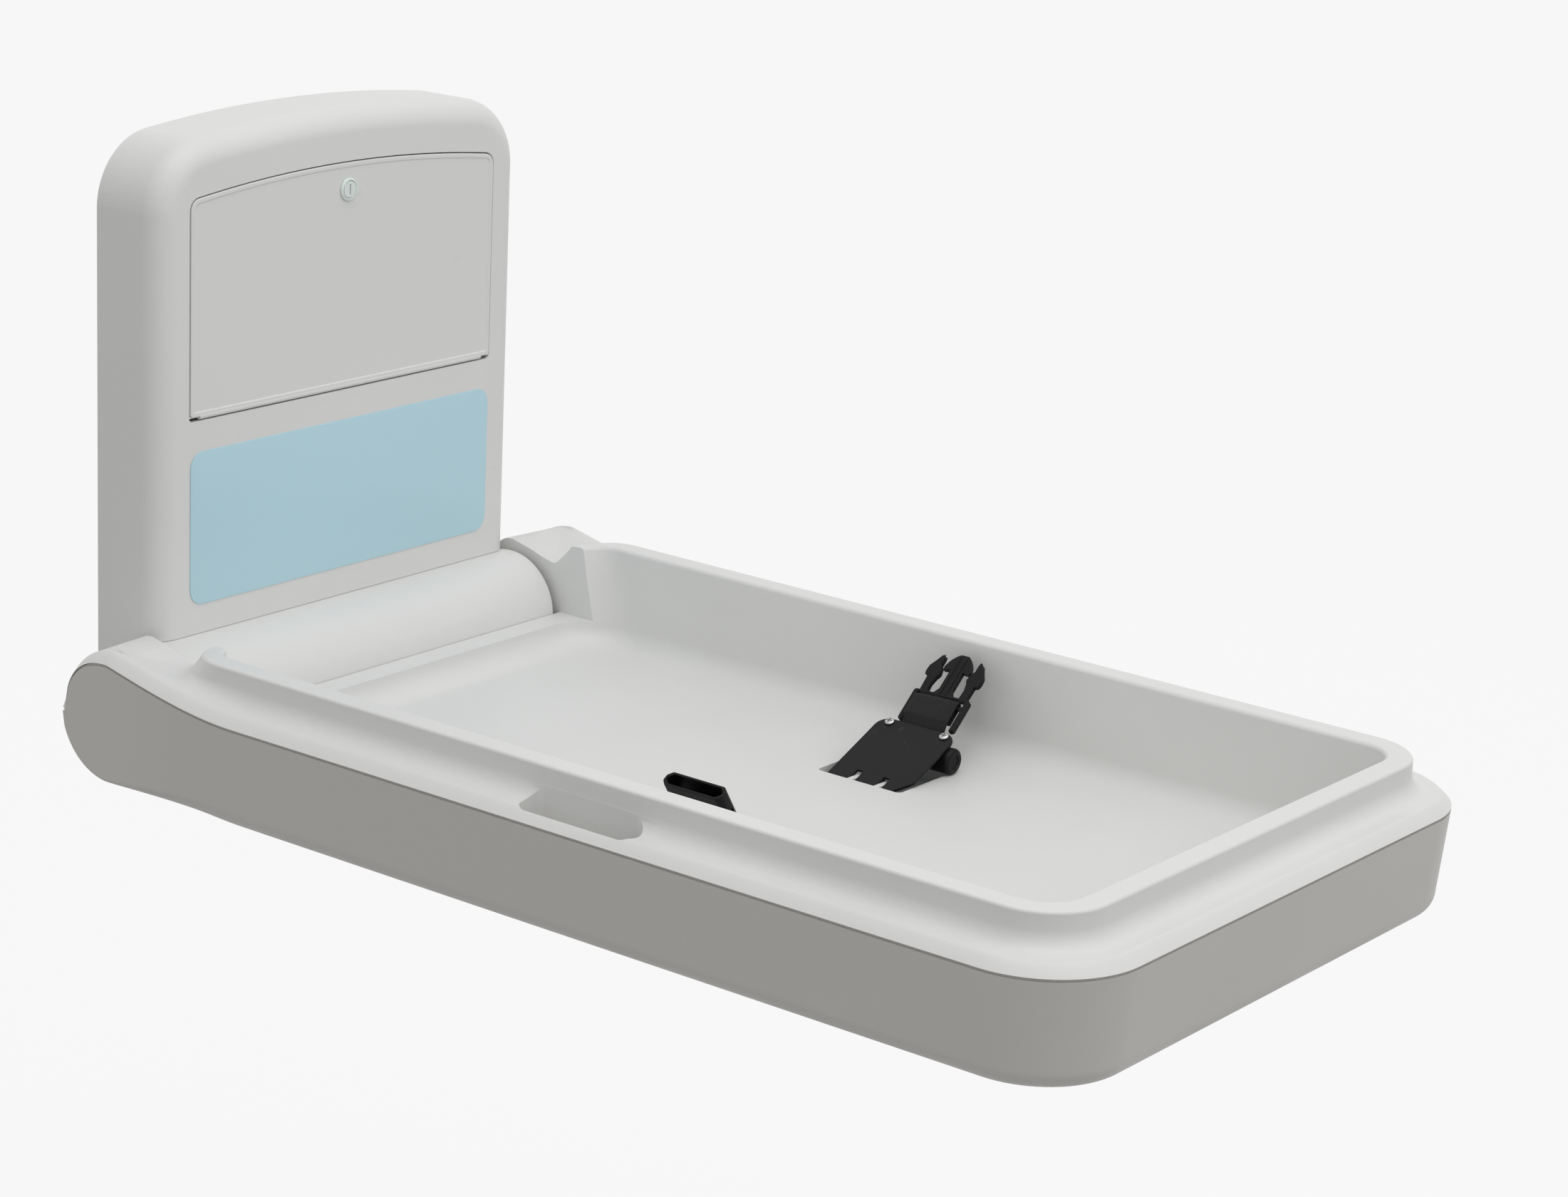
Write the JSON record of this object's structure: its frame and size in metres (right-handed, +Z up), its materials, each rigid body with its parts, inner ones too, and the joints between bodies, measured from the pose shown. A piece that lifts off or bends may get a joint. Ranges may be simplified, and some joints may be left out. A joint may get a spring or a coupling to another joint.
{
  "type": "baby changing station",
  "caption": "Wall-mounted fold-down baby changing station: tub-shaped tray on a round hinge below an arched housing with a liner door, and a strap buckle",
  "frame": {"origin": "on the back of the steel wall plate, midway across it, 150 mm above the tray's seam", "axes": "X runs along the wall, +Y points into the wall so that the tray reaches out along -Y, and +Z is up"},
  "size_m": [0.5, 0.8812, 0.4538],
  "materials": {
    "shell_plastic": "fine-textured warm white moulded plastic",
    "door_plastic": "smooth satin white moulded plastic",
    "label_film": "smooth pale blue film",
    "zinc_steel": "zinc-plated pressed steel",
    "bright_screw": "bright plated screw",
    "bush_nylon": "natural nylon",
    "black_plastic": "satin black moulded plastic",
    "black_webbing": "woven black webbing",
    "lock_plastic": "pale smooth lock plastic"
  },
  "bodies": {
    "wall_unit": {"wall_plate": "zinc_steel", "housing_shell": "shell_plastic", "hinge_barrel": "shell_plastic", "hinge_bracket_left": "zinc_steel", "hinge_bracket_right": "zinc_steel", "hinge_bush_left": "bush_nylon", "hinge_bush_right": "bush_nylon", "damper_left": "black_plastic", "damper_right": "black_plastic", "liner_bin": "door_plastic", "label_plate": "label_film"},
    "door": {"door_panel": "door_plastic", "lock_bezel": "lock_plastic", "lock_nut": "zinc_steel"},
    "lock": {"lock_plug": "lock_plastic", "lock_cam": "zinc_steel"},
    "tray": {"upper_moulding": "shell_plastic", "lower_shell": "shell_plastic", "hinge_shaft": "zinc_steel", "arm_plate_left": "zinc_steel", "arm_plate_right": "zinc_steel", "stop_lever_left": "zinc_steel", "stop_lever_right": "zinc_steel", "frame_rail_left": "zinc_steel", "frame_rail_right": "zinc_steel", "frame_cross_1": "zinc_steel", "frame_cross_2": "zinc_steel", "shell_screw_1": "bright_screw", "shell_screw_2": "bright_screw", "shell_screw_3": "bright_screw", "shell_screw_4": "bright_screw", "shell_screw_5": "bright_screw", "shell_screw_6": "bright_screw", "strap_anchor": "zinc_steel", "anchor_screw_1": "bright_screw", "anchor_screw_2": "bright_screw", "strap_hinge_pin": "zinc_steel"},
    "far_strap": {"strap_plate": "black_plastic", "plate_screw_1": "bright_screw", "plate_screw_2": "bright_screw", "strap_reel": "black_plastic", "webbing_far": "black_webbing", "buckle_male": "black_plastic"},
    "near_strap": {"webbing_near": "black_webbing", "buckle_female": "black_plastic"}
  },
  "joints": [
    {"name": "tray_fold", "type": "hinge", "parent": "wall_unit", "child": "tray", "pos_m": [0, -0.066, -0.178], "axis": [1, 0, 0], "range_deg": [-90, 0]},
    {"name": "door_hinge", "type": "hinge", "parent": "wall_unit", "child": "door", "pos_m": [0, -0.0601, 0.0259], "axis": [1, 0, 0], "range_deg": [0, 100]},
    {"name": "lock_turn", "type": "hinge", "parent": "door", "child": "lock", "pos_m": [0, -0.0622, 0.1706], "axis": [0, 1, 0], "range_deg": [0, 90]},
    {"name": "far_strap_lift", "type": "hinge", "parent": "tray", "child": "far_strap", "pos_m": [0.0905, -0.488, -0.19752], "axis": [0, -1, 0], "range_deg": [0, 75]},
    {"name": "near_strap_swing", "type": "hinge", "parent": "tray", "child": "near_strap", "pos_m": [-0.097, -0.4955, -0.2008], "axis": [0, 1, 0], "range_deg": [0, 20]}
  ]
}
